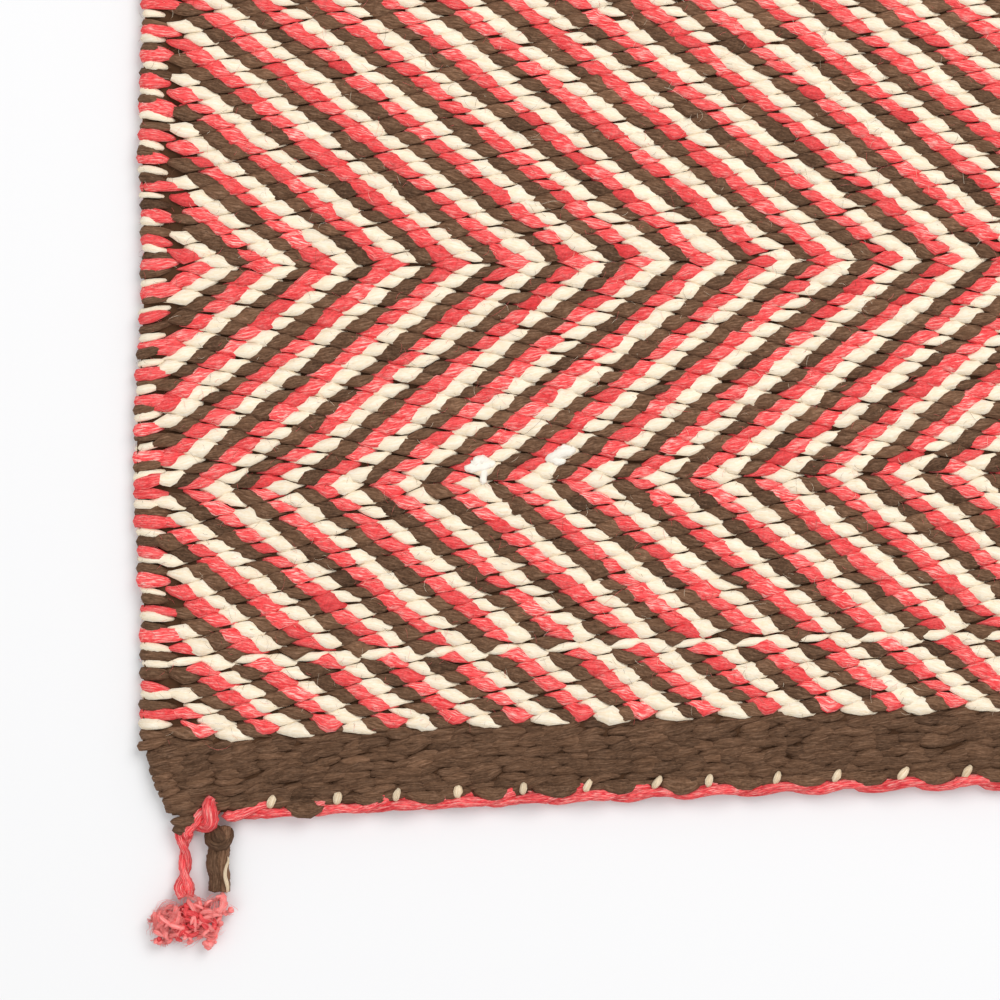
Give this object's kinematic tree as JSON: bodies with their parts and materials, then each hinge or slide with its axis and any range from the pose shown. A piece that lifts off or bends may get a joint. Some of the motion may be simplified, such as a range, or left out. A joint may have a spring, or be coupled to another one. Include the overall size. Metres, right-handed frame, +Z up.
{
  "type": "saddle blanket",
  "caption": "Flat handwoven wool saddle blanket in a diagonal zigzag twill, with dark end bands, twined end cords and corner tassels.",
  "frame": {"origin": "on the surface it lies on, under the middle of the whole", "axes": "+X along the wefts, +Y along the warps away from the corner with the loose yarn tail, +Z up out of the face"},
  "size_m": [0.7644, 0.8288, 0.0069],
  "materials": {
    "twill_wool": "coarse red, cream and brown wool twill",
    "red_wool": "coral red wool yarn",
    "brown_wool": "natural dark brown wool yarn",
    "cream_wool": "natural cream wool yarn"
  },
  "bodies": {
    "root": {"blanket": "twill_wool", "end_cord_front": "red_wool", "end_cord_back": "red_wool", "tassel_front_left": "red_wool", "tassel_front_right": "red_wool", "tassel_back_left": "red_wool", "tassel_back_right": "red_wool", "brown_tail": "brown_wool"}
  },
  "joints": []
}
